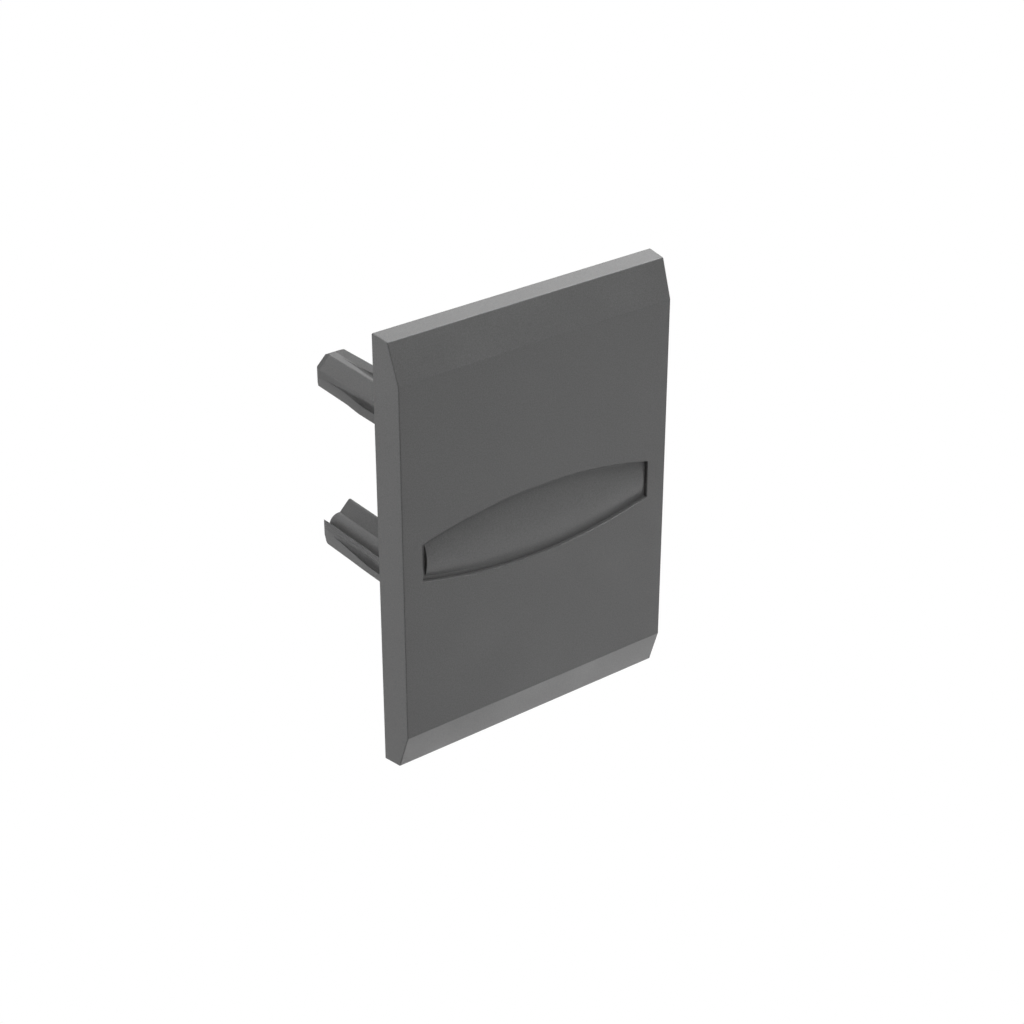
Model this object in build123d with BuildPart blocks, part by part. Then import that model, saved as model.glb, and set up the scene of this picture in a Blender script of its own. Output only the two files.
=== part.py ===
from build123d import *
import os

# End cap for a 40 mm aluminium profile, moulded in one piece: a bevelled cover plate
# with a label field in its face and four pegs that plug into the profile's chamber.
# It stands upright. The origin is the centre of the seat, the plate's flat back, which
# lies in the XZ plane. The face looks along -Y and the pegs reach along +Y.
# All sizes are in millimetres and degrees.

# Cover plate
plate_width = 40.0
plate_height = 56.35
plate_thickness = 4.32
side_draft = 5.0  # all four sides lean in towards the face
bevel_depth = 1.69  # the top and bottom bevels, measured down the side
bevel_height = 4.6  # and across the face
edge_round = 0.14

# Label field: a barrel-shaped pocket in the face, filled by a low pillow
pocket_length = 33.76
pocket_height = 9.32
pocket_end_height = 4.9
pocket_depth = 0.53
pocket_round = 0.1  # along its rim in the face
groove_width = 0.52  # left open along the pillow's long sides
end_groove_width = 0.62  # left open at its two ends
pillow_drop = 0.02  # from the face down to the pillow's crest

# Chamber of the profile, which the pegs grip by its four corners
chamber_width = 23.2
chamber_height = 27.7
peg_clearance = 0.02  # between the edges of a peg and the chamber's walls

# Peg section. Depths run inward along the diagonal from the chamber's corner,
# reaches run across the diagonal to either side.
nose_reach = 1.09  # half the width of the flat nose
nose_round = 0.2
flank_depth = 2.75  # inner corner where the nose's flank meets the arm
flank_reach = 1.66
arm_reach = 3.05  # half the span of the two arms
arm_thickness = 0.42
waist_reach = 1.27  # where the arms run into the round core
core_depth = 4.24
core_radius = 1.45
blade_thickness = 1.72
blade_depth = 7.6
blade_round = 0.3

# Peg along its length, measured from the seat
peg_length = 26.1
grip_length = 16.3  # the arms keep their full reach up to here
ramp_length = 2.7  # and draw in over this length
ramp_draw = 0.2
tip_draw = 0.13  # what they lose from there to the tip
nose_draw = 0.1  # what the nose loses from the end of the grip to the tip
flank_fill = 0.24  # what the flanks gain over the same length
lead_angle = 25.0
lead_clearance = 0.77  # between the tip's edges and the chamber's walls
lead_nose = 2.0  # depth of the tip's nose

# Flutes, one in each flank of a peg, which let the arms give
flute_radius = 0.66
flute_depth = 2.44  # centre of a flute's round bottom
flute_reach = 1.64
flute_length = 15.9  # from the seat to where a flute begins to narrow
point_length = 23.5  # and on to the point where it runs out
point_reach = 1.72
point_radius = 0.04

seat_plane = Plane.XZ
face_plane = Plane.XZ.offset(plate_thickness)


def pocket_reach(along):
    """Half the height of the label pocket at this distance from its centre."""
    rise = (pocket_height - pocket_end_height) / 2
    arc_radius = (pocket_length**2 / 4 + rise**2) / (2 * rise)
    return pocket_height / 2 - arc_radius + (arc_radius**2 - along**2) ** 0.5


def pillow_section(along):
    """Crowned section of the pillow, standing on the pocket's floor."""
    reach = pocket_reach(along) - groove_width
    floor = plate_thickness - pocket_depth
    with BuildSketch(Plane.YZ.offset(along)) as section:
        with BuildLine():
            ThreePointArc((-floor, reach), (pillow_drop - plate_thickness, 0), (-floor, -reach))
            Line((-floor, -reach), (-floor, reach))
        make_face()
    return section.sketch


with BuildPart() as plate:
    with BuildSketch(seat_plane):
        Rectangle(plate_width, plate_height)
    extrude(amount=plate_thickness, taper=side_draft)

    face = plate.faces().sort_by(Axis.Y)[0]
    bevelled = face.edges().filter_by(Axis.X)
    chamfer(bevelled, bevel_height, bevel_depth, reference=face)
    rim = plate.faces().sort_by(Axis.Y)[-1].edges()
    fillet(plate.edges() - rim, edge_round)

    with BuildSketch(face_plane):
        with BuildLine():
            end, corner = pocket_length / 2, pocket_end_height / 2
            top = ThreePointArc((-end, corner), (0, pocket_height / 2), (end, corner))
            Line(top @ 1, (end, 0))
            Line(top @ 0, (-end, 0))
            mirror(about=Plane.XZ)
        make_face()
    extrude(amount=-pocket_depth, mode=Mode.SUBTRACT)
    fillet(plate.faces().sort_by(Axis.Y)[0].inner_wires().edges(), pocket_round)

with BuildPart() as pillow:
    pillow_end = pocket_length / 2 - end_groove_width
    add([pillow_section(along) for along in (-pillow_end, 0, pillow_end)])
    loft()

chamber_corner = (-chamber_width / 2, 0, chamber_height / 2)
peg_plane = Plane(chamber_corner, x_dir=(1, 0, -1), z_dir=(0, 1, 0))
diagonal_plane = Plane(chamber_corner, x_dir=(1, 0, -1), z_dir=peg_plane.y_dir)
corner_gap = peg_clearance * 2**0.5


def peg_section(height, nose, flank, reach):
    """Arrow-shaped section of a peg: nose, two arms, round core and inner blade."""
    arm = arm_reach + corner_gap
    waist = (core_depth - (core_radius**2 - waist_reach**2) ** 0.5, waist_reach)
    half_blade = blade_thickness / 2
    root = (core_depth + (core_radius**2 - half_blade**2) ** 0.5, half_blade)
    with BuildSketch(peg_plane.offset(height)) as section:
        with BuildLine():
            Polyline((nose, 0), (nose, nose_reach), (flank_depth, flank), (arm, reach))
            Polyline((arm, reach), (arm + arm_thickness, reach), waist)
            ThreePointArc(waist, (core_depth, core_radius), root)
            Polyline(root, (blade_depth, half_blade), (blade_depth, 0))
            mirror(about=Plane.XZ)
        make_face()
        fillet(section.vertices().group_by(Axis.X)[-1], blade_round)
        fillet(section.vertices().group_by(Axis.X)[0], nose_round)
    return section.sketch


def flute_section(height, reach, radius):
    """Round-bottomed slot across a peg's flank, open outwards."""
    with BuildSketch(peg_plane.offset(height)) as section:
        SlotCenterPoint((flute_depth - radius, reach + radius), (flute_depth, reach), 2 * radius)
    return section.sketch


with BuildPart() as flute:
    full = flute_section(flute_length, flute_reach, flute_radius)
    extrude(full, amount=-flute_length)
    loft([full, flute_section(point_length, point_reach, point_radius)], ruled=True)

with BuildPart() as peg:
    ramp_end = grip_length + ramp_length
    ramp_reach = arm_reach - ramp_draw
    nose = nose_reach + corner_gap
    grip = peg_section(0, nose, flank_reach, arm_reach)
    grip_end = peg_section(grip_length, nose, flank_reach, arm_reach)
    drawn = peg_section(ramp_end, nose + nose_draw / 2, flank_reach + flank_fill / 2, ramp_reach)
    tip = peg_section(peg_length, nose + nose_draw, flank_reach + flank_fill, ramp_reach - tip_draw)
    loft([grip, grip_end, drawn, tip], ruled=True)

    # The lead-in: sloping planes that face the two walls and the corner between them
    wall_depth = lead_clearance * 2**0.5
    with BuildSketch(peg_plane.offset(peg_length)):
        with BuildLine():
            far = 2 * blade_depth
            Polyline((lead_nose, 0), (lead_nose, lead_nose - wall_depth), (far, far - wall_depth), (far, 0))
            mirror(about=Plane.XZ)
        make_face()
    extrude(amount=-peg_length, taper=-lead_angle, mode=Mode.INTERSECT)

    add(flute.part, mode=Mode.SUBTRACT)
    mirror(flute.part, about=diagonal_plane, mode=Mode.SUBTRACT)

with BuildPart() as end_cap:
    add(plate.part)
    add(pillow.part)
    add(peg.part)
    mirror(peg.part, about=Plane.YZ)
    mirror(end_cap.part, about=Plane.XY)

end_cap.part.label = "end_cap"
os.makedirs("parts", exist_ok=True)
export_step(end_cap.part, "parts/end_cap.step")
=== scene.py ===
import bpy
import math
from mathutils import Matrix, Vector


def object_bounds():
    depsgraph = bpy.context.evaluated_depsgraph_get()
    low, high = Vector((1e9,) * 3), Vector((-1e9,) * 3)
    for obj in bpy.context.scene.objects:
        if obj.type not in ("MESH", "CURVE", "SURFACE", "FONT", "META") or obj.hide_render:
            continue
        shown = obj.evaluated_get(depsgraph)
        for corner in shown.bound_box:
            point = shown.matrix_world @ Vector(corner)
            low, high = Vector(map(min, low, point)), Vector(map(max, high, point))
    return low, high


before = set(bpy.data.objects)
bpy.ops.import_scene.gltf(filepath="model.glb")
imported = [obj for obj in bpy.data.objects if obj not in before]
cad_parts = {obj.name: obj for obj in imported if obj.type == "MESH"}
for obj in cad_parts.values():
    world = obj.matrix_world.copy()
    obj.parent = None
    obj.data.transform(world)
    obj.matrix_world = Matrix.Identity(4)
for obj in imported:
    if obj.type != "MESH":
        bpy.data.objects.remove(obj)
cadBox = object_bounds()
mm = 0.001


def makeMaterial(name):
    material = bpy.data.materials.new(name)
    material.use_nodes = True
    tree = material.node_tree
    return material, tree, tree.nodes["Principled BSDF"]


def addNode(tree, kind, inputs=None, **settings):
    # an input is a socket to link from, or a constant
    node = tree.nodes.new(kind)
    for key, value in settings.items():
        setattr(node, key, value)
    for key, value in (inputs or {}).items():
        if isinstance(value, bpy.types.NodeSocket):
            tree.links.new(value, node.inputs[key])
        else:
            node.inputs[key].default_value = value
    return node


def multiply(tree, a, b):
    return addNode(tree, "ShaderNodeMath", {0: a, 1: b}, operation="MULTIPLY").outputs[0]


capLook = {
    "colour": (0.088, 0.088, 0.088),
    "grain": {"detail": 2.0, "roughness": 0.6},  # noise of the mould's spark-eroded texture
    "grainSize": 0.14,  # mm
    "grainDepth": 0.014,  # mm
    "speckle": 0.22,  # how much the grain shows in the colour
    "cloud": {"detail": 3.0, "roughness": 0.5},  # noise of the soft patches in the plastic
    "cloudSize": 6.0,  # mm
    "colourSpread": 0.05,  # how much the clouds show in the colour
    "roughness": 0.55,
    "roughnessSpread": 0.08,  # how much the clouds show in the roughness
    "noiseSpan": (0.25, 0.75),  # nearly all of a noise lies between these
    "ior": 1.5,
}


def buildGrainGroup(look):
    # two noises in the cap's own space: fine mould texture and soft clouds
    group = bpy.data.node_groups.new("mouldGrain", "ShaderNodeTree")
    noises = {"Grain": look["grain"], "Cloud": look["cloud"]}
    for name in noises:
        group.interface.new_socket(name + " Scale", in_out="INPUT", socket_type="NodeSocketFloat")
        group.interface.new_socket(name, in_out="OUTPUT", socket_type="NodeSocketFloat")
    start = group.nodes.new("NodeGroupInput")
    end = group.nodes.new("NodeGroupOutput")
    place = addNode(group, "ShaderNodeTexCoord").outputs["Object"]
    for name, noise in noises.items():
        node = addNode(group, "ShaderNodeTexNoise",
                       {"Vector": place, "Scale": start.outputs[name + " Scale"],
                        "Detail": noise["detail"], "Roughness": noise["roughness"]})
        group.links.new(node.outputs["Fac"], end.inputs[name])
    return group


def buildCapPlastic(look, grainGroup):
    material, tree, shader = makeMaterial("mouldedPlastic")
    group = addNode(tree, "ShaderNodeGroup", node_tree=grainGroup)
    group.inputs["Grain Scale"].default_value = 1 / (look["grainSize"] * mm)
    group.inputs["Cloud Scale"].default_value = 1 / (look["cloudSize"] * mm)
    grain, cloud = group.outputs["Grain"], group.outputs["Cloud"]
    low, high = look["noiseSpan"]

    def spread(noise, amount):
        # turns a noise into a factor about 1
        return addNode(tree, "ShaderNodeMapRange",
                       {"Value": noise, "From Min": low, "From Max": high,
                        "To Min": 1 - amount, "To Max": 1 + amount},
                       clamp=False).outputs["Result"]

    shade = multiply(tree, spread(grain, look["speckle"]), spread(cloud, look["colourSpread"]))
    colour = addNode(tree, "ShaderNodeVectorMath", {0: look["colour"], "Scale": shade},
                     operation="SCALE")
    tree.links.new(colour.outputs["Vector"], shader.inputs["Base Color"])
    rough = multiply(tree, spread(cloud, look["roughnessSpread"]), look["roughness"])
    tree.links.new(rough, shader.inputs["Roughness"])
    bump = addNode(tree, "ShaderNodeBump", {"Height": grain, "Distance": look["grainDepth"] * mm})
    tree.links.new(bump.outputs["Normal"], shader.inputs["Normal"])
    shader.inputs["IOR"].default_value = look["ior"]
    return material


capPlastic = buildCapPlastic(capLook, buildGrainGroup(capLook))
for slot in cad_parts["end_cap"].material_slots:
    slot.material = capPlastic
print("end cap: moulded plastic")


studio = {
    "white": (1.0, 1.0, 1.0),
    "floorColour": (0.9, 0.9, 0.9),
    "floorRoughness": 0.9,
    "floorDrop": 0.27,  # m, the floor lies this far below the cap's foot
    "floorSize": 3.0,  # m
    "skyLight": 0.0,  # the lamps alone light the cap
    "lampDistance": 0.3,  # m from the frame's origin, which lies in the cap
    "lampSize": 0.2,  # m across
    # lamps as seen from the cap: azimuth and elevation in degrees, watts
    "lamps": {
        "frontHigh": (0, 45, 0.597),
        "rightHigh": (90, 45, 1.064),
        "backRightHigh": (135, 45, 0.367),
        "backLeftHigh": (225, 45, 0.122),
        "backLeftTop": (225, 60, 0.494),
        "backLeft": (225, -5, 0.326),
        "backLeftLow": (225, -45, 0.085),
        "frontRightLow": (45, -30, 0.213),
        "leftLow": (270, -30, 0.233),
        "rightUnder": (90, -60, 0.264),
    },
}


def direction(azimuth, elevation):
    # azimuth 0 is in front of the face, and positive towards +X
    a, e = math.radians(azimuth), math.radians(elevation)
    return Vector((math.sin(a) * math.cos(e), -math.cos(a) * math.cos(e), math.sin(e)))


def aimAt(thing, place, target):
    back = (place - target).normalized()
    right = Vector((0, 0, 1)).cross(back).normalized()
    up = back.cross(right)
    turn = Matrix((right, up, back)).transposed().to_4x4()
    thing.matrix_world = Matrix.Translation(place) @ turn


def showWhite(tree, shader, surface):
    # the camera sees plain white, the cap is lit by the shader
    glow = addNode(tree, "ShaderNodeEmission", {"Color": (*studio["white"], 1)})
    seen = addNode(tree, "ShaderNodeLightPath").outputs["Is Camera Ray"]
    mix = addNode(tree, "ShaderNodeMixShader", {0: seen, 1: shader, 2: glow.outputs["Emission"]})
    tree.links.new(mix.outputs["Shader"], surface)


def buildFloor(level):
    half = studio["floorSize"] / 2
    square = ((-half, -half), (half, -half), (half, half), (-half, half))
    mesh = bpy.data.meshes.new("floor")
    mesh.from_pydata([(x, y, level) for x, y in square], [], [(0, 1, 2, 3)])
    floor = bpy.data.objects.new("floor", mesh)
    bpy.context.scene.collection.objects.link(floor)
    material, tree, shader = makeMaterial("paleFloor")
    shader.inputs["Base Color"].default_value = (*studio["floorColour"], 1)
    shader.inputs["Roughness"].default_value = studio["floorRoughness"]
    showWhite(tree, shader.outputs["BSDF"], tree.nodes["Material Output"].inputs["Surface"])
    mesh.materials.append(material)


def buildLamps():
    origin = Vector((0, 0, 0))
    for name, (azimuth, elevation, power) in studio["lamps"].items():
        data = bpy.data.lights.new(name, "AREA")
        data.shape = "DISK"
        data.size = studio["lampSize"]
        data.energy = power
        lamp = bpy.data.objects.new(name, data)
        lamp.visible_camera = False
        bpy.context.scene.collection.objects.link(lamp)
        aimAt(lamp, direction(azimuth, elevation) * studio["lampDistance"], origin)


def buildSky():
    world = bpy.data.worlds.new("studioSky")
    bpy.context.scene.world = world
    world.use_nodes = True
    nodes = world.node_tree.nodes
    sky = nodes["Background"]
    sky.inputs["Color"].default_value = (*studio["white"], 1)
    sky.inputs["Strength"].default_value = studio["skyLight"]
    showWhite(world.node_tree, sky.outputs["Background"], nodes["World Output"].inputs["Surface"])


camera = {
    "azimuth": -37.54,  # degrees, as for the lamps
    "elevation": 28.92,
    "distance": 271.1 * mm,
    "aim": (-0.645 * mm, 0.06 * mm, -0.62 * mm),
    "lens": 79.57,  # mm
    "sensor": 36,  # mm wide
    "clipStart": 0.01,  # m
}


def buildCamera():
    data = bpy.data.cameras.new("camera")
    data.lens = camera["lens"]
    data.sensor_width = camera["sensor"]
    data.clip_start = camera["clipStart"]
    thing = bpy.data.objects.new("camera", data)
    bpy.context.scene.collection.objects.link(thing)
    target = Vector(camera["aim"])
    away = direction(camera["azimuth"], camera["elevation"]) * camera["distance"]
    aimAt(thing, target + away, target)
    bpy.context.scene.camera = thing


buildFloor(cadBox[0][2] - studio["floorDrop"])
buildLamps()
buildSky()
buildCamera()
bpy.context.scene.view_settings.view_transform = "Standard"
print("studio: floor, lamps, sky, camera")
